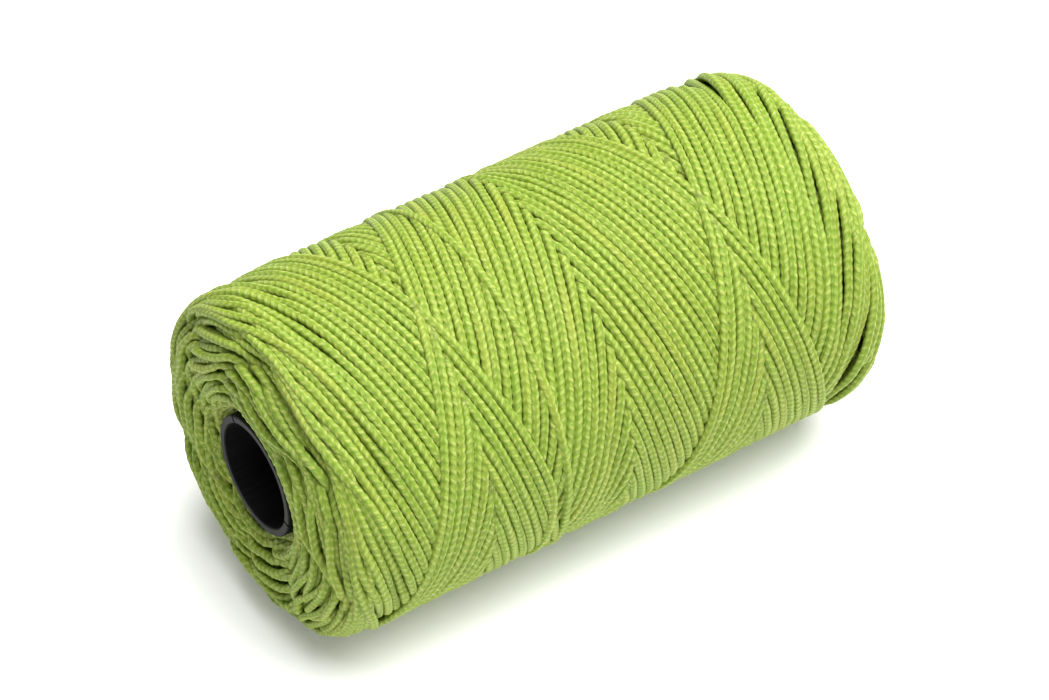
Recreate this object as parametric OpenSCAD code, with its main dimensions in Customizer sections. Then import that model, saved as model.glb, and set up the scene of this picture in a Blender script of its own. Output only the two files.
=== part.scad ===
// A flangeless roll of braided line, cross-wound on a plain plastic tube.
// The roll lies on its side. The tube's axis runs along Y, and the origin is the
// centre of the bore at mid-length, where a spindle would carry the roll.

/* [Tube] */
// Diameter of the bore
bore_d = 23.8; // [12:0.1:30]
// Thickness of the tube's wall
tube_wall = 1.8; // [1:0.1:3]
// Length of the tube
tube_len = 136.5; // [80:0.5:139]
// Chamfer on each edge of the tube's ends
tube_chamfer = 0.25; // [0.1:0.05:0.4]
// Width of the nicks in the tube's near end
nick_w = 0.6; // [0.3:0.1:1.2]
// Depth of the nicks in the tube's near end
nick_depth = 0.5; // [0.2:0.1:1]

/* [Winding] */
// Outer diameter of the winding
winding_d = 78; // [68:1:120]
// Length of the winding over its crowned ends
winding_len = 142.8; // [139:0.1:200]
// Radius of the rounded shoulder at each end
shoulder_r = 12.5; // [4:0.5:16]
// How far the tube's end stands out of the line that is next to it
tube_proud = 1.6; // [0.5:0.1:4]

/* [Hidden] */
$fn = 96;

// Steps along each arc of the winding's outline
arc_steps = 14;
// Where the nicks are around the tube's near end, in degrees from +X towards +Z
nick_angles = [125, -14];
// Overshoot that makes a cut run clear of a face
cut_clear = 1;

bore_r = bore_d / 2;
tube_r = bore_r + tube_wall;
tube_half = tube_len / 2;
winding_r = winding_d / 2;
winding_half = winding_len / 2;

// The crest is the ring of the end face that stands out farthest.
crest_r = winding_r - shoulder_r;
// The end face falls from the crest to the root, where it meets the tube.
root_y = tube_half - tube_proud;
root_drop = winding_half - root_y;
root_width = crest_r - tube_r;
// Radius of the arc that is level at the crest and ends at the root
crown_r = (root_width * root_width + root_drop * root_drop) / (2 * root_drop);
crown_sweep = asin(root_width / crown_r);

// Points of an arc about [cr, cy], from angle a0 to angle a1
function arc(cr, cy, radius, a0, a1) = [
    for (i = [0 : arc_steps])
        let (a = a0 + (a1 - a0) * i / arc_steps)
            [cr + radius * cos(a), cy + radius * sin(a)]
];

// Outline of one end of the winding, from the shoulder's foot to the root
function end_outline() = concat(
    arc(crest_r, winding_half - shoulder_r, shoulder_r, 0, 90),
    [for (p = arc(crest_r, winding_half - crown_r, crown_r, 90, 90 + crown_sweep))
        if (p[0] < crest_r - 0.01) p]
);

// The same outline mirrored to the other end, in the opposite order
function mirrored(points) = [
    for (i = [len(points) - 1 : -1 : 0]) [points[i][0], -points[i][1]]
];

// Turns a solid that is made about Z so that its axis runs along Y.
module lay_along_y() {
    rotate([-90, 0, 0])
        children();
}

// One nick: a shallow radial slot across the wall at the tube's -Y end
module nick(angle) {
    rotate([0, -angle, 0])
        translate([bore_r - cut_clear, -tube_half - cut_clear, -nick_w / 2])
            cube([tube_wall + 2 * cut_clear, cut_clear + nick_depth, nick_w]);
}

// Plain tube with chamfered ends
module core_tube() {
    color([0.16, 0.16, 0.18])
        difference() {
            lay_along_y()
                rotate_extrude()
                    polygon([
                        [bore_r, -tube_half + tube_chamfer],
                        [bore_r + tube_chamfer, -tube_half],
                        [tube_r - tube_chamfer, -tube_half],
                        [tube_r, -tube_half + tube_chamfer],
                        [tube_r, tube_half - tube_chamfer],
                        [tube_r - tube_chamfer, tube_half],
                        [bore_r + tube_chamfer, tube_half],
                        [bore_r, tube_half - tube_chamfer]
                    ]);
            for (angle = nick_angles)
                nick(angle);
        }
}

// The whole length of line as it lies on the tube: one closed ring
module line_winding() {
    color([0.60, 0.76, 0.25])
        lay_along_y()
            rotate_extrude()
                polygon(concat(end_outline(), mirrored(end_outline())));
}

core_tube();
line_winding();
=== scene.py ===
"""Looks of a roll of braided line, cross-wound on a plain plastic tube.

The line is wound here turn by turn, as a winding machine does it: a height map of the roll
says how high each new turn has to ride over those below it. The turns that show become
braided cord meshes. The tube is the CAD model's own, with a plastic material.
"""

import math

import bpy
import numpy as np
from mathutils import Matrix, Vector


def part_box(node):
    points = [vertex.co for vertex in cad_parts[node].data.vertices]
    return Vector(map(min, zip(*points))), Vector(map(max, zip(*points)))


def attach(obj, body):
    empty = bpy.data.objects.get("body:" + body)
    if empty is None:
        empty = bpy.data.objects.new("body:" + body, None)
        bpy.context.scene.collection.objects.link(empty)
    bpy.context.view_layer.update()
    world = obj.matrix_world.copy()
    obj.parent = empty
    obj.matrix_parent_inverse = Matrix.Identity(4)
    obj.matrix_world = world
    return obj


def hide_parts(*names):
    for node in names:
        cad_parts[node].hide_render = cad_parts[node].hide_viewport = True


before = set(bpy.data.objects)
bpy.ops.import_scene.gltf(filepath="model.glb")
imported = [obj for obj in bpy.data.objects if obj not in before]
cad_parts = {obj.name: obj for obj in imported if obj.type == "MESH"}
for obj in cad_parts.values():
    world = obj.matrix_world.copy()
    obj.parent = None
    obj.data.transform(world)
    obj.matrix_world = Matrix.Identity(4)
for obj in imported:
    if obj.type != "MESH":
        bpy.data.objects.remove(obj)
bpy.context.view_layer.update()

MM = 0.001
RNG = np.random.default_rng(11)

# ---------------------------------------------------------------- sizes, from the frame

TUBE_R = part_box("core_tube")[1].x
TUBE_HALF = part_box("core_tube")[1].y
ROLL_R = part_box("line_winding")[1].x
ROLL_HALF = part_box("line_winding")[1].y
FLOOR_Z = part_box("line_winding")[0].z

# The rounded shoulder of the winding, and how far the tube stands out of the line beside it
SHOULDER = 12.5 * MM
PROUD = 1.6 * MM
CREST_R = ROLL_R - SHOULDER
ROOT_Y = TUBE_HALF - PROUD
CROWN = ((CREST_R - TUBE_R) ** 2 + (ROLL_HALF - ROOT_Y) ** 2) / (2 * (ROLL_HALF - ROOT_Y))

# The line: half its width, and half its height once it is pressed into the roll
CORD_W = 0.93 * MM
CORD_H = 0.80 * MM
# How far a strand presses into those that it lies on
PRESS = 0.36 * MM
# Length of line that one stitch of the braid takes up, and how many rings of vertices it has
STITCH = 1.94 * MM
RINGS = 6
# How much further along the stitches of one lean lie than those of the other, in stitches
UNEVEN = 0.15
# Vertices in a ring where the line shows: three in each of the four rows of stitches
COLUMNS = 12

# ---------------------------------------------------------------- how the line is wound

# Layers from the tube to the outside; each is one pass of strokes all the way round
LAYERS = 10
# Turns of the roll while the line goes to the far end and back
TURNS = 4.0
# Distance from one strand to its neighbour, across the strands
SPACING = 1.95 * MM
# The line keeps this far inside the end face, and turns back within this depth of it
END_GAP = 0.9 * MM
# How much further in the turns next to the tube end, which leaves a groove round it
RECESS = 2.2 * MM
END_DEPTH = 5.0 * MM
# The sharpest turn back at an end, in turns of the roll
SHARPEST = 0.035
# How far strands stray sideways
STRAY = 0.06 * MM
# Part of the winding's cycle of turning points that one stroke moves on, and its scatter
CYCLE_STEP = 0.103
CYCLE_SCATTER = 0.05
# How much of END_DEPTH the outer layers use, and how many layers those are
OUTER_SHARE = 0.6
OUTER_LAYERS = 2
# However far out they lie, turns may reach as far along the tube as the roll does at this depth
REACH_DEPTH = 3 * MM
# Next to a joint between two strokes, for this part of a turn, strands stray less and less
JOINT_TURN = 0.08
# Angle round the roll, from +X towards +Z, where the last stroke leaves the near end
LAST_START = math.radians(-105.2)
# The last stroke: turns until it stops crossing the roll, then turns to where it is tucked in
LAST_CROSSING = 0.70
LAST_TAIL = 1.32
# The tucked end: samples over which it dips under its neighbours, and how deep it goes
TUCK_SAMPLES = 70
TUCK_DEPTH = 2.6 * MM

# Cells of the height map along and round the roll, and samples of the line in one turn
CELL_Y = 0.3 * MM
CELLS_ROUND = 720
SAMPLES_A_TURN = 1000
CELLS = round(2 * ROLL_HALF / CELL_Y) + 1
ROWS_Y = np.linspace(-ROLL_HALF, ROLL_HALF, CELLS)
# Samples before and after a stretch that its taut path takes into account
AHEAD = 200

# How deep under the surface the line is still made, and how deep it counts as showing
DEPTH_KEPT = 3.3 * MM
DEPTH_SHOWN = 1.45 * MM
# No piece has more triangles than this
MAX_TRIANGLES = 190_000
# The strands just under the surface have one ring for so many of the others, of fewer vertices
COARSE = 3
COARSE_COLUMNS = 6
# Samples by which a stretch that shows, or one that is hidden, is made longer at each end
SHOWN_MARGIN = 8
HIDDEN_MARGIN = 4
# How much of what stands proud of the outside, or past the end face, is pressed back in
PRESSED_OUTSIDE = 0.65
PRESSED_END = 0.8
# Width of the ring round the tube in which the line lies further in
BY_TUBE = 4.5 * MM


def end_of_roll(radius):
    """Half the winding's length at a radius: the crown inside the crest, the shoulder outside."""
    crown = ROLL_HALF - CROWN + np.sqrt(np.maximum(CROWN**2 - (CREST_R - radius) ** 2, 0))
    shoulder = ROLL_HALF - SHOULDER + np.sqrt(np.maximum(SHOULDER**2 - (radius - CREST_R) ** 2, 0))
    return np.where(radius < CREST_R, crown, shoulder)


def outer_radius(y):
    """The winding's outside at a distance along the tube."""
    over = np.maximum(np.abs(y) - (ROLL_HALF - SHOULDER), 0)
    return CREST_R + np.sqrt(np.maximum(SHOULDER**2 - over**2, 0))


def inner_radius(y):
    """The tube, and past its root the inner side of the crowned end."""
    over = np.maximum(np.abs(y) - (ROLL_HALF - CROWN), 0)
    crown = CREST_R - np.sqrt(np.maximum(CROWN**2 - over**2, 0))
    return np.where(np.abs(y) < ROOT_Y, TUBE_R, np.maximum(crown, TUBE_R))


def smooth(values, reach):
    """Weighted moving average over reach samples each way."""
    weights = np.hanning(2 * reach + 3)[1:-1]
    padded = np.pad(values, reach, "edge")
    return np.convolve(padded, weights / weights.sum(), "valid")


def wander(count, knot_every, size):
    """A smooth random curve with a random knot every so many samples."""
    knots = RNG.normal(0, size, int(count / knot_every) + 4)
    x = np.linspace(1, len(knots) - 2.001, count)
    i = x.astype(int)
    f = x - i
    f = f * f * (3 - 2 * f)
    return knots[i] * (1 - f) + knots[i + 1] * f


def taut_over(length, height, radius):
    """The lowest path of a taut line round a drum of that radius that clears every height."""
    bend = length**2 / (2 * radius)
    xs, ys = [], []
    for x, y in zip(length.tolist(), (height - bend).tolist(), strict=True):
        while len(xs) > 1 and (ys[-1] - ys[-2]) * (x - xs[-1]) <= (y - ys[-1]) * (xs[-1] - xs[-2]):
            xs.pop()
            ys.pop()
        xs.append(x)
        ys.append(y)
    return np.interp(length, xs, ys) + bend


def blur(height, along, around):
    """Smooths a height map by these numbers of cells; it wraps round the roll."""

    def pass_over(rows, sigma, wrap):
        reach = int(2 * sigma) + 1
        weights = np.exp(-0.5 * (np.arange(-reach, reach + 1) / sigma) ** 2)
        padded = np.pad(rows, ((reach, reach), (0, 0)), "wrap" if wrap else "edge")
        return sum(w * padded[i : i + len(rows)] for i, w in enumerate(weights / weights.sum()))

    return pass_over(pass_over(height, along, False).T, around, True).T


def cells_at(angle, y):
    """The height map's cells at these places on the roll."""
    row = np.clip(np.rint((y + ROLL_HALF) / CELL_Y).astype(int), 0, CELLS - 1)
    column = np.rint(angle * (CELLS_ROUND / (2 * np.pi))).astype(int) % CELLS_ROUND
    return row, column


def swell(height, along, around):
    """The highest value within this many cells each way; it wraps round the roll."""
    for step in range(1, along + 1):
        padded = np.pad(height, ((1, 1), (0, 0)), "edge")
        height = np.maximum(height, np.maximum(padded[:-2], padded[2:]))
    for step in range(1, around + 1):
        height = np.maximum(height, np.maximum(np.roll(height, 1, 1), np.roll(height, -1, 1)))
    return height


class Roll:
    """The height map of the roll as it grows, and the path of the line that is on it."""

    # Places across the line where it may rest on what is below, in fifths of its half width
    ACROSS = np.arange(-4, 5)
    # Sideways moves that a strand may make to drop beside its neighbour, in the same unit
    MOVES = np.arange(-2, 3)
    UNIT = CORD_W / 5
    # How strongly the line resists a sideways move
    STIFFNESS = 0.6
    # Samples over which the choice of a move, the move itself and a bump are evened out
    CHOICE_REACH = 40
    MOVE_REACH = 28
    BUMP_REACH = 70

    def __init__(self):
        self.inner = inner_radius(ROWS_Y)[:, None]
        self.outer = outer_radius(ROWS_Y)[:, None]
        self.top = np.repeat(self.inner, CELLS_ROUND, 1)
        self.runs = []
        self.turned = 0.0

    def profile(self, across):
        """Height of the line's rounded outline at a distance from its middle."""
        return CORD_H * np.sqrt(1 - (across / CORD_W) ** 2)

    def settle(self, support):
        """Where each sample moves sideways: beside its neighbour rather than on top of it."""
        middle = support.shape[1] // 2
        outline = self.profile(self.ACROSS * self.UNIT)
        heights = [(support[:, middle + m + self.ACROSS] + outline).max(1) for m in self.MOVES]
        cost = np.stack(heights, 1)
        cost += self.STIFFNESS * (self.MOVES * self.UNIT) ** 2 / CORD_W
        cost = np.stack([smooth(column, self.CHOICE_REACH) for column in cost.T], 1)
        return smooth(self.MOVES[np.argmin(cost, 1)].astype(float), self.MOVE_REACH) * self.UNIT

    def lay(self, y, turns, radius):
        """Lays a stretch of line while the roll turns. y is its way along the tube, and goes on
        past the stretch by AHEAD samples, so that the line is taut across the joint."""
        count = len(y) - AHEAD
        turn = np.arange(len(y)) * turns / count
        angle = -2 * np.pi * (self.turned + turn)
        slope = np.arctan(np.gradient(y) / np.gradient(turn) / (2 * np.pi * radius))
        side_angle, side_y = (np.sin(slope) / radius)[:, None], np.cos(slope)[:, None]
        wide = np.arange(-7, 8) * self.UNIT
        support = self.top[cells_at(angle[:, None] + side_angle * wide, y[:, None] + side_y * wide)]
        free = np.clip(np.minimum(turn, turns - turn) / JOINT_TURN, 0, 1)
        move = self.settle(support) * free
        angle, y = angle + side_angle[:, 0] * move, y + side_y[:, 0] * move
        across = self.ACROSS * self.UNIT
        support = self.top[cells_at(angle[:, None] + side_angle * across, y[:, None] + side_y * across)]
        height = (support + self.profile(across)).max(1) - PRESS
        # The line is soft: where it rides over a single strand it gives way by half
        even = smooth(height, self.BUMP_REACH)
        height = np.where(height > even, (height + even) / 2, height)
        before = self.runs[-1][-AHEAD:, 2] if self.runs else height[:1]
        height = np.concatenate([before, height])
        length = np.arange(len(height)) * 2 * np.pi * radius * turns / count
        height = smooth(taut_over(length, height, radius), 4)[len(before) :]
        self.runs.append(np.stack([angle, y, height], 1)[:count])
        across = np.linspace(-0.93, 0.93, 13) * CORD_W
        where = cells_at(angle[:, None] + side_angle * across, y[:, None] + side_y * across)
        row, column = where[0][: count - 4], where[1][: count - 4]
        np.maximum.at(self.top, (row, column), (height[:, None] + self.profile(across))[: count - 4])
        self.turned += turns

    def level(self, radius, reach=4 * MM):
        """Presses the roll to an even radius, deeper turns less than those on top."""
        round_cell = 2 * np.pi * radius / CELLS_ROUND
        mean = blur(swell(self.top, 3, 3), reach / CELL_Y, reach / round_cell)
        wanted = np.minimum(radius, self.outer)
        press = (wanted - self.inner) / np.maximum(mean - self.inner, 0.01 * MM)
        in_middle = (np.abs(ROWS_Y) < end_of_roll(radius) - 4 * MM)[:, None]
        press = np.where(in_middle, press, np.clip(press, 0, 1))
        self.top = self.inner + (self.top - self.inner) * press
        for run in self.runs:
            row, column = cells_at(run[:, 0], run[:, 1])
            run[:, 2] = self.inner[row, 0] + (run[:, 2] - self.inner[row, 0]) * press[row, column]


def rounded(turn, dwell):
    """Distance from the corner, in turns: straight lines joined by a bend dwell turns wide."""
    return (np.abs(turn) ** 4 + dwell**4) ** (1 / 4)


def loop_out(side, corner, dwell, turns):
    """Positions along the tube from its middle out to one end and back, and AHEAD beyond.

    The line goes straight for the corner, where it would turn back at once, and rounds it off
    within so many turns of the roll."""
    step = 1 / SAMPLES_A_TURN
    count = round(turns / step)
    turn = np.arange(count + AHEAD) * turns / count
    y = side * corner * (1 - rounded(turn - turns / 2, dwell) / rounded(turns / 2, dwell))
    free = np.clip(np.minimum(turn, np.abs(turns - turn)) / JOINT_TURN, 0, 1)
    return y + free * (smooth(wander(len(y), 90, STRAY), 3) + RNG.normal(0, 2 * STRAY))


def last_stroke(corner, turns):
    """The last stroke: from the middle out to the near end, then part of the way back, and then
    nearly straight round to the tucked end. Returns positions, and turns in all."""
    end = turns / 2 + LAST_CROSSING + LAST_TAIL
    turn = np.arange(round(end * SAMPLES_A_TURN) + AHEAD) / SAMPLES_A_TURN
    crossing = np.minimum(turn, turns / 2 + LAST_CROSSING)
    y = corner * (rounded(crossing - turns / 2, 0.1) / rounded(turns / 2, 0.1) - 1)
    tail = np.maximum(turn - turns / 2 - LAST_CROSSING, 0)
    drift = 0.6 * MM * (1 - np.exp(-tail / 0.05)) + 3.4 * MM * np.maximum(tail - 0.55, 0) / 0.45
    return smooth(y + drift, 25), (len(turn) - AHEAD) / SAMPLES_A_TURN


def wind():
    """Winds the whole length of line. Returns the roll, the line's path, and the angle that
    turns the roll so that the last stroke starts at LAST_START."""
    roll = Roll()
    side = -1
    loops = 0
    for layer in range(LAYERS):
        thickness = (ROLL_R - TUBE_R) / LAYERS
        start = TUBE_R + thickness * layer
        done = 0.0
        while done < 1 or (layer == LAYERS - 1 and side == 1):
            radius = start + thickness * min(done, 1) + CORD_H
            furthest = float(end_of_roll(min(radius, ROLL_R - REACH_DEPTH))) - END_GAP
            corner = furthest * (1 + SHARPEST)
            slope = math.atan(4 * corner / TURNS / (2 * np.pi * radius))
            advance = SPACING / math.sin(slope) / (2 * np.pi * radius)
            # At each end a stroke turns back a little sooner than the one before it, and every
            # fifth goes far again
            phase = (loops * CYCLE_STEP + RNG.normal(0, CYCLE_SCATTER)) % 1
            short = END_DEPTH * phase**1.4
            if layer >= LAYERS - OUTER_LAYERS:
                short *= OUTER_SHARE
            turns = (TURNS - advance) / 2
            roll.lay(loop_out(side, corner, SHARPEST + short / furthest, turns), turns, radius)
            loops, side, done = loops + 1, -side, done + advance / 2
        roll.level(start + thickness)
    roll.level(ROLL_R, 2.5 * MM)
    spin = LAST_START + 2 * np.pi * (roll.turned + turns / 2)
    y, turns = last_stroke(corner, turns)
    roll.lay(y, turns, ROLL_R)
    tuck = np.linspace(1, 0, TUCK_SAMPLES)
    roll.runs[-1][-TUCK_SAMPLES:, 2] -= TUCK_DEPTH * (1 - tuck) ** 2 * (1 + 2 * tuck)
    return roll, np.concatenate(roll.runs), spin


def press_proud(path):
    """Where the line stands proud of the roll's outside or end, most of that is pressed in."""
    proud = path[:, 2] + CORD_H - outer_radius(path[:, 1])
    path[:, 2] -= PRESSED_OUTSIDE * np.maximum(proud, 0)
    by_tube = np.clip(1 - (path[:, 2] - TUBE_R) / BY_TUBE, 0, 1)
    past_end = np.abs(path[:, 1]) + CORD_W - end_of_roll(path[:, 2]) + RECESS * by_tube
    path[:, 1] -= np.sign(path[:, 1]) * PRESSED_END * smooth(np.maximum(past_end, 0), 6)


# ---------------------------------------------------------------- what shows of the line


def resample(path, spacing):
    """The path again with even spacing along the line. Angles keep growing past a turn."""
    angle, y, radius = path.T
    y = smooth(y, 6)
    radius = smooth(radius, 5)
    step = np.hypot(np.diff(angle) * (radius[1:] + radius[:-1]) / 2, np.diff(y))
    along = np.concatenate([[0], np.cumsum(step)])
    even = np.arange(0, along[-1], spacing)
    return np.stack([np.interp(even, along, v) for v in (angle, y, radius)], 1)


def depth_below(path, top):
    """How deep the middle of the line lies, below the outside or behind the nearer end face."""
    angle, y, radius = path.T
    below = top[cells_at(angle, y)] - radius
    cell_r = 0.35 * MM
    rings = int((ROLL_R + 3 * MM) / cell_r)
    column = cells_at(angle, y)[1]
    ring = np.clip((radius / cell_r).astype(int), 1, rings - 2)
    for sign in (-1, 1):
        face = np.zeros((rings, CELLS_ROUND))
        for d in (-2, -1, 0, 1, 2):
            np.maximum.at(face, (np.clip(ring + d, 0, rings - 1), column), sign * y + CORD_W)
        face = np.maximum(face, np.maximum(np.roll(face, 1, 1), np.roll(face, -1, 1)))
        behind = face[ring, column] - sign * y
        below = np.where(sign * y > 0, np.minimum(below, behind), below)
    return below


def stretches(mask, extend):
    """First and last sample of each stretch where mask holds, each made longer at both ends."""
    grown = np.convolve(mask, np.ones(2 * extend + 1), "same") > 0
    edges = np.flatnonzero(np.diff(np.concatenate([[0], grown.astype(int), [0]])))
    return list(zip(edges[::2], edges[1::2] - 1, strict=True))


# ---------------------------------------------------------------- cord meshes


def to_points(path, spin):
    angle, y, radius = path.T
    angle = angle + spin
    return np.stack([radius * np.cos(angle), y, radius * np.sin(angle)], 1)


def stitches(u, v):
    """Height from 0 to 1 of a round braid of eight yarns, each over two and under two.

    u is the way along the line in stitches and v the way round it from 0 to 1. The yarns that
    lean one way show in two rows along the line, and those that lean the other way between."""
    row = np.floor(4 * v)
    other = row % 2
    yarn = u + (1 - 2 * other) * 2 * v + UNEVEN * other
    ridge = np.abs(np.sin(np.pi * yarn))
    ends = np.abs(np.sin(np.pi * (4 * v - row))) ** 0.5
    return ridge * (0.3 + 0.7 * ends)


def cord_tube(points, first_ring, columns, ring_step):
    """Vertices, triangles and UVs of one stretch of line, with the relief of its braid."""
    rings = len(points)
    along = np.gradient(points, axis=0)
    along /= np.linalg.norm(along, axis=1)[:, None]
    out = points * (1, 0, 1)
    out -= along * (out * along).sum(1)[:, None]
    out /= np.linalg.norm(out, axis=1)[:, None]
    across = np.cross(along, out)
    ring = (first_ring + np.arange(rings))[:, None] * ring_step
    column = np.arange(columns)
    u = np.repeat(ring / RINGS, columns, 1)
    v = np.repeat((column[None] + 0.5) / columns, rings, 0)
    # The soft line is a little wider in some places than in others
    swell_out = 0.97 + 0.16 * stitches(u, v) + wander(rings, 9, 0.03)[:, None]
    swell_out[[0, -1]] *= 0.6
    angle = 2 * np.pi * v + 0.011 * ring
    xyz = (
        points[:, None]
        + out[:, None] * (np.cos(angle) * swell_out * CORD_H)[..., None]
        + across[:, None] * (np.sin(angle) * swell_out * CORD_W)[..., None]
    )
    here = np.arange(rings - 1)[:, None] * columns
    nxt = (column + 1) % columns
    low, low_n, high, high_n = here + column, here + nxt, here + columns + column, here + columns + nxt
    left_leaning = (np.floor(4 * v[:-1]) % 2 == 0)[..., None]
    first = np.where(left_leaning, np.stack([low, low_n, high], -1), np.stack([low, low_n, high_n], -1))
    second = np.where(left_leaning, np.stack([low_n, high_n, high], -1), np.stack([low, high_n, high], -1))
    faces = np.concatenate([first, second], 1).reshape(-1, 3)
    caps = [np.stack([np.zeros(columns - 2, int), column[2:], column[1:-1]], 1)]
    caps.append(caps[0][:, ::-1] + (rings - 1) * columns)
    faces = np.concatenate([faces, *caps])
    return xyz.reshape(-1, 3), faces, np.stack([u, v], -1).reshape(-1, 2)


def mesh_piece(name, parts):
    """One object from several tubes, smooth, with its braid coordinates in the UV map 'braid'."""
    offsets = np.cumsum([0] + [len(p[0]) for p in parts[:-1]])
    xyz = np.concatenate([p[0] for p in parts])
    faces = np.concatenate([p[1] + o for p, o in zip(parts, offsets, strict=True)])
    uv = np.concatenate([p[2] for p in parts])
    mesh = bpy.data.meshes.new(name)
    mesh.vertices.add(len(xyz))
    mesh.vertices.foreach_set("co", xyz.astype(np.float32).ravel())
    mesh.loops.add(faces.size)
    mesh.loops.foreach_set("vertex_index", faces.astype(np.int32).ravel())
    mesh.polygons.add(len(faces))
    mesh.polygons.foreach_set("loop_start", np.arange(0, faces.size, 3, dtype=np.int32))
    mesh.polygons.foreach_set("use_smooth", np.ones(len(faces), bool))
    mesh.update(calc_edges=True)
    corner = uv[faces]
    wraps = corner[..., 1].max(1) - corner[..., 1].min(1) > 0.5
    corner[..., 1] += (corner[..., 1] < 0.5) * wraps[:, None]
    layer = mesh.uv_layers.new(name="braid")
    layer.data.foreach_set("uv", corner.astype(np.float32).ravel())
    mesh.validate()
    piece = bpy.data.objects.new(name, mesh)
    bpy.context.collection.objects.link(piece)
    return piece


def cord_pieces(name, path, spin, spans, columns, ring_step):
    """Turns stretches of the path into as few objects as the triangle limit allows."""
    pieces, parts, count = [], [], 0
    points = to_points(path, spin)
    for first, last in spans:
        if last - first < 4:
            continue
        part = cord_tube(points[first : last + 1], first, columns, ring_step)
        if count + len(part[1]) > MAX_TRIANGLES:
            pieces.append(mesh_piece(f"{name}_{len(pieces) + 1:02d}", parts))
            parts, count = [], 0
        parts.append(part)
        count += len(part[1])
    pieces.append(mesh_piece(f"{name}_{len(pieces) + 1:02d}", parts))
    return pieces


# ---------------------------------------------------------------- materials


class Nodes:
    """A material's node tree, with short calls for what the materials below use."""

    def __init__(self, name):
        self.material = bpy.data.materials.new(name)
        self.material.use_nodes = True
        self.tree = self.material.node_tree
        self.shader = self.tree.nodes["Principled BSDF"]

    def new(self, kind, **settings):
        node = self.tree.nodes.new("ShaderNode" + kind)
        for key, value in settings.items():
            setattr(node, key, value)
        return node

    def feed(self, socket, value):
        if isinstance(value, bpy.types.NodeSocket):
            self.tree.links.new(value, socket)
        else:
            socket.default_value = value

    def math(self, operation, a, b=0.0, c=0.0):
        node = self.new("Math", operation=operation)
        for socket, value in zip(node.inputs, (a, b, c), strict=True):
            self.feed(socket, value)
        return node.outputs[0]

    def mix(self, factor, a, b, blend="MIX"):
        node = self.new("Mix", data_type="RGBA", blend_type=blend)
        self.feed(node.inputs[0], factor)
        self.feed(node.inputs[6], a)
        self.feed(node.inputs[7], b)
        return node.outputs[2]

    def spread(self, value, low, high, to_low=0.0, to_high=1.0):
        node = self.new("MapRange", interpolation_type="SMOOTHSTEP")
        for socket, v in zip(node.inputs, (value, low, high, to_low, to_high), strict=False):
            self.feed(socket, v)
        return node.outputs[0]

    def noise(self, scale, detail=2.0, vector=None, roughness=0.5):
        node = self.new("TexNoise")
        node.inputs["Scale"].default_value = scale
        node.inputs["Detail"].default_value = detail
        node.inputs["Roughness"].default_value = roughness
        if vector is None:
            vector = self.new("TexCoord").outputs["Object"]
        self.feed(node.inputs["Vector"], vector)
        return node.outputs["Fac"]

    def bump(self, height, distance, strength=1.0, normal=None):
        node = self.new("Bump")
        node.inputs["Strength"].default_value = strength
        node.inputs["Distance"].default_value = distance
        self.feed(node.inputs["Height"], height)
        if normal is not None:
            self.feed(node.inputs["Normal"], normal)
        return node.outputs[0]

    def set(self, **values):
        for key, value in values.items():
            self.feed(self.shader.inputs[key.replace("_", " ")], value)


def braid_pattern(n):
    """The braid's rows and yarns at each point, as in stitches(), with a little wobble.

    Returns the way along the line, the row, the yarn, how near the point is to a yarn's crest
    and to the crest of the yarn that passes under it, and how far it is from the row's edges."""
    split = n.new("SeparateXYZ")
    n.feed(split.inputs[0], n.new("UVMap", uv_map="braid").outputs[0])
    u, v = split.outputs[0], n.math("MULTIPLY", split.outputs[1], 4.0)
    row = n.math("FLOOR", v)
    other = n.math("FLOORED_MODULO", row, 2.0)
    lean = n.math("MULTIPLY_ADD", other, -2.0, 1.0)
    slant = n.math("MULTIPLY_ADD", n.math("MULTIPLY", lean, 0.5), v, u)
    yarn = n.math("MULTIPLY_ADD", other, UNEVEN, slant)
    wobble = n.math("SUBTRACT", n.noise(700.0, 2.0), 0.5)
    yarn = n.math("MULTIPLY_ADD", wobble, 0.35, yarn)
    ridge = n.math("SINE", n.math("MULTIPLY", n.math("FRACT", yarn), math.pi))
    half_on = n.math("FRACT", n.math("ADD", yarn, 0.5))
    under = n.math("SINE", n.math("MULTIPLY", half_on, math.pi))
    ends = n.math("SINE", n.math("MULTIPLY", n.math("SUBTRACT", v, row), math.pi))
    return u, row, yarn, ridge, under, ends


def dye_and_painted_shade_colour(n, u, relief):
    """Lime green with painted shade: darker between the yarns, where shade falls; blotched, and different
    from stretch to stretch.
    """
    # Painted shade: the line's own lime green, made darker down in the creases between the yarns
    colour = n.mix(n.spread(relief, 0.0, 0.8), (0.145, 0.228, 0.014, 1), (0.215, 0.285, 0.037, 1))
    blotch = n.spread(n.noise(28.0, 3.0), 0.35, 0.70)
    colour = n.mix(n.math("MULTIPLY", blotch, 0.25), colour, (0.14, 0.27, 0.022, 1))
    # The dye took a little differently from one stretch of line to the next
    stretch = n.new("CombineXYZ")
    n.feed(stretch.inputs[0], n.math("MULTIPLY", u, 0.045))
    dye = n.noise(1.0, 2.0, stretch.outputs[0])
    colour = n.mix(n.spread(dye, 0.50, 0.72, 0.0, 0.40), colour, (0.31, 0.32, 0.048, 1))
    return n.mix(n.spread(dye, 0.28, 0.50, 0.40, 0.0), colour, (0.15, 0.265, 0.024, 1))


def filament_noise(n, u, row, yarn):
    """Fine filaments: a noise that is drawn out along each yarn."""
    strand = n.new("CombineXYZ")
    n.feed(strand.inputs[0], n.math("MULTIPLY", yarn, 7.0))
    n.feed(strand.inputs[1], n.math("MULTIPLY", u, 0.9))
    n.feed(strand.inputs[2], n.math("MULTIPLY", row, 3.7))
    return n.noise(1.0, 2.0, strand.outputs[0])


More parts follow.
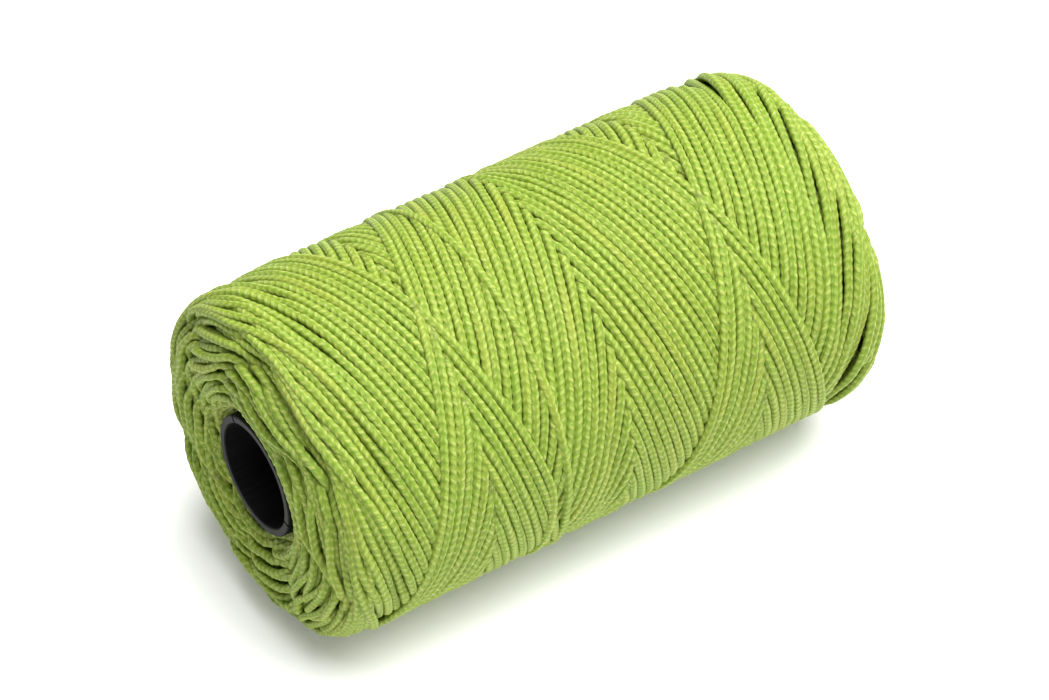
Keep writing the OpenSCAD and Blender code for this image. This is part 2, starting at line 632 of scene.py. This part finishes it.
def painted_crest_highlights(n, row, yarn, ridge, under, ends, filaments):
    """A painted highlight: the crest of each yarn is a pale line, with a fainter one from the yarn under
    it.
    """
    # Each stitch catches a little more or less light than its neighbours
    cell = n.new("CombineXYZ")
    n.feed(cell.inputs[0], n.math("FLOOR", yarn))
    n.feed(cell.inputs[1], row)
    odd_stitch = n.new("TexWhiteNoise", noise_dimensions="2D")
    n.feed(odd_stitch.inputs[0], cell.outputs[0])
    # Masks of the painted highlight, on the crest of the yarn on top and fainter on the yarn under it
    below = n.math("MULTIPLY", n.spread(under, 0.80, 1.0, 0.0, 0.75), n.spread(ends, 0.5, 1.0))
    above = n.math("MULTIPLY", n.spread(ridge, 0.70, 0.97), n.spread(ends, 0.2, 0.8))
    crest = n.math("MAXIMUM", below, above)
    crest = n.math("MULTIPLY", crest, n.spread(odd_stitch.outputs[0], 0.1, 0.9, 0.60, 1.0))
    return n.math("MULTIPLY", crest, n.spread(filaments, 0.35, 0.65, 0.45, 1.0))


def braid_material():
    """Lime braided line: four rows of slanting stitches, each a bundle of fine filaments."""
    n = Nodes("braided_line")
    u, row, yarn, ridge, under, ends = braid_pattern(n)
    relief = n.math("MULTIPLY", ridge, n.math("MULTIPLY_ADD", n.math("POWER", ends, 0.5), 0.6, 0.4))
    filaments = filament_noise(n, u, row, yarn)
    crest = painted_crest_highlights(n, row, yarn, ridge, under, ends, filaments)
    colour = dye_and_painted_shade_colour(n, u, relief)
    # Painted highlight: the yarn crests are mixed toward pale yellow-green
    colour = n.mix(n.math("MULTIPLY", crest, 0.9), colour, (0.385, 0.445, 0.115, 1))
    n.set(Base_Color=colour, Roughness=n.spread(filaments, 0.3, 0.7, 0.50, 0.66))
    n.shader.inputs["Specular IOR Level"].default_value = 0.20
    n.shader.inputs["Subsurface Weight"].default_value = 0.5
    n.shader.inputs["Subsurface Radius"].default_value = (0.8, 1.0, 0.25)
    n.shader.inputs["Subsurface Scale"].default_value = 1.4 * MM
    height = n.math("MULTIPLY_ADD", filaments, 0.6, n.math("MULTIPLY_ADD", crest, 0.5, relief))
    n.set(Normal=n.bump(height, 0.08 * MM, 0.8))
    return n.material


def heart_material():
    """The turns deep inside, which only show as dark green in the gaps."""
    n = Nodes("line_deep")
    wave = n.new("TexWave", wave_type="BANDS", bands_direction="Y")
    wave.inputs["Scale"].default_value = 160.0
    wave.inputs["Distortion"].default_value = 3.0
    n.feed(wave.inputs["Vector"], n.new("TexCoord").outputs["Object"])
    colour = n.mix(wave.outputs["Fac"], (0.05, 0.10, 0.008, 1), (0.20, 0.30, 0.03, 1))
    n.set(Base_Color=colour, Roughness=0.8)
    n.set(Normal=n.bump(wave.outputs["Fac"], 0.5 * MM, 0.8))
    return n.material


def tube_material():
    """Extruded black plastic: faint lines along the tube, and a sawn, greyer end."""
    n = Nodes("tube_plastic")
    place = n.new("TexCoord").outputs["Object"]
    split = n.new("SeparateXYZ")
    n.feed(split.inputs[0], place)
    at_end = n.spread(n.math("ABSOLUTE", split.outputs[1]), TUBE_HALF - 0.12 * MM, TUBE_HALF - 0.02 * MM)
    mapping = n.new("Mapping")
    mapping.inputs["Scale"].default_value = (1, 0.02, 1)
    n.feed(mapping.inputs["Vector"], place)
    lines = n.noise(900.0, 3.0, mapping.outputs[0])
    grain = n.noise(2600.0, 3.0, place)
    colour = n.mix(n.spread(lines, 0.3, 0.7), (0.004, 0.004, 0.004, 1), (0.007, 0.007, 0.007, 1))
    cut = n.mix(n.spread(grain, 0.3, 0.75), (0.021, 0.021, 0.020, 1), (0.030, 0.030, 0.028, 1))
    n.set(Base_Color=n.mix(at_end, colour, cut), Roughness=n.spread(grain, 0.25, 0.75, 0.55, 0.70))
    n.shader.inputs["Specular IOR Level"].default_value = 0.12
    bumps = n.math("ADD", n.math("MULTIPLY", lines, 0.7), n.math("MULTIPLY", grain, 0.4))
    n.set(Normal=n.bump(bumps, 0.02 * MM, 0.6))
    return n.material


def floor_material():
    n = Nodes("studio_floor")
    tone = n.mix(n.noise(3.0, 2.0), (0.88, 0.88, 0.88, 1), (0.91, 0.91, 0.91, 1))
    n.set(Base_Color=tone, Roughness=0.9)
    n.shader.inputs["Specular IOR Level"].default_value = 0.1
    n.shader.inputs["Emission Color"].default_value = (1, 1, 1, 1)
    n.shader.inputs["Emission Strength"].default_value = 0.16
    return n.material


# ---------------------------------------------------------------- pieces


def make_heart():
    """The closed body of the turns that never show, a few millimetres under the surface."""
    depth = 4.6 * MM
    radius = np.linspace(TUBE_R + 0.2 * MM, ROLL_R - depth, 26)
    half = end_of_roll(np.minimum(radius + depth * 0.5, ROLL_R)) - depth
    outline = np.concatenate([np.stack([radius, -half], 1), np.stack([radius, half], 1)[::-1]])
    columns = 96
    turn = np.linspace(0, 2 * np.pi, columns, endpoint=False)
    xyz = np.stack([
        outline[:, None, 0] * np.cos(turn),
        np.repeat(outline[:, None, 1], columns, 1),
        outline[:, None, 0] * np.sin(turn),
    ], -1)
    rows = len(outline)
    row, column = np.meshgrid(np.arange(rows), np.arange(columns), indexing="ij")
    nxt_row, nxt_column = (row + 1) % rows, (column + 1) % columns
    quads = [row * columns + column, nxt_row * columns + column,
             nxt_row * columns + nxt_column, row * columns + nxt_column]
    mesh = bpy.data.meshes.new("line_heart")
    mesh.from_pydata(xyz.reshape(-1, 3).tolist(), [], np.stack(quads, -1).reshape(-1, 4).tolist())
    mesh.polygons.foreach_set("use_smooth", np.ones(len(mesh.polygons), bool))
    heart = bpy.data.objects.new("line_heart", mesh)
    bpy.context.collection.objects.link(heart)
    return heart


def place_piece(piece, material):
    piece.data.materials.append(material)
    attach(piece, "root")
    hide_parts("line_winding")


def make_line():
    """Winds the line and turns what shows of it into pieces."""
    roll, path, spin = wind()
    path = resample(path, STITCH / RINGS)
    depth = depth_below(path, roll.top)
    press_proud(path)
    shown = depth < DEPTH_SHOWN
    shown[-60:] = True
    shown_spans = stretches(shown, SHOWN_MARGIN)
    in_shown = np.zeros(len(path), bool)
    for first, last in shown_spans:
        in_shown[first + 3 : last - 2] = True
    hidden = (depth < DEPTH_KEPT) & ~in_shown
    hidden_spans = [(a // COARSE, b // COARSE) for a, b in stretches(hidden, HIDDEN_MARGIN)]
    braid = braid_material()
    for piece in cord_pieces("line_outer", path, spin, shown_spans, COLUMNS, 1):
        place_piece(piece, braid)
    inner = cord_pieces("line_inner", path[::COARSE], spin, hidden_spans, COARSE_COLUMNS, COARSE)
    for piece in inner:
        place_piece(piece, braid)
    place_piece(make_heart(), heart_material())


def finish_tube():
    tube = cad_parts["core_tube"]
    tube.data.materials.clear()
    tube.data.materials.append(tube_material())


# ---------------------------------------------------------------- stage


# Where the camera stands, as seen from the roll, and its lens and the picture's small shift
CAMERA_AZIMUTH = math.radians(56.32)
CAMERA_ELEVATION = math.radians(44.28)
CAMERA_DISTANCE = 22.31 * ROLL_R
CAMERA_LENS = 140.5
CAMERA_SHIFT = (-0.0049, -0.0017)


def make_stage():
    bpy.ops.mesh.primitive_plane_add(size=6.0, location=(0, 0, FLOOR_Z))
    floor = bpy.context.object
    floor.name = "floor"
    floor.data.materials.append(floor_material())
    world = bpy.data.worlds.new("studio")
    bpy.context.scene.world = world
    world.use_nodes = True
    world.node_tree.nodes["Background"].inputs[0].default_value = (1, 1, 1, 1)
    world.node_tree.nodes["Background"].inputs[1].default_value = 0.20


def direction(azimuth, elevation):
    """The way from the roll to a place around it: azimuth 0 is -Y, and 90 degrees is +X."""
    level = math.cos(elevation)
    return Vector((math.sin(azimuth) * level, -math.cos(azimuth) * level, math.sin(elevation)))


def add_softbox(name, azimuth, elevation, distance, size, power):
    """A square area light aimed at the roll."""
    away = direction(math.radians(azimuth), math.radians(elevation))
    data = bpy.data.lights.new(name, "AREA")
    data.size = size
    data.energy = power
    lamp = bpy.data.objects.new(name, data)
    bpy.context.collection.objects.link(lamp)
    lamp.location = away * distance
    lamp.rotation_mode = "QUATERNION"
    lamp.rotation_quaternion = (-away).to_track_quat("-Z", "Y")


def make_camera():
    """The viewing angle: the tube's near end to the left, seen from well above."""
    away = direction(CAMERA_AZIMUTH, CAMERA_ELEVATION)
    data = bpy.data.cameras.new("camera")
    data.sensor_width = 36.0
    data.lens = CAMERA_LENS
    data.shift_x, data.shift_y = CAMERA_SHIFT
    camera = bpy.data.objects.new("camera", data)
    bpy.context.collection.objects.link(camera)
    camera.location = away * CAMERA_DISTANCE
    camera.rotation_mode = "QUATERNION"
    camera.rotation_quaternion = (-away).to_track_quat("-Z", "Y")
    bpy.context.scene.camera = camera


make_camera()
make_stage()
add_softbox("key", 142, 75, 1.1, 1.2, 37.5)
add_softbox("fill", 85, 35, 1.4, 1.2, 1.2)
finish_tube()
make_line()

bpy.context.scene.view_settings.view_transform = "Standard"
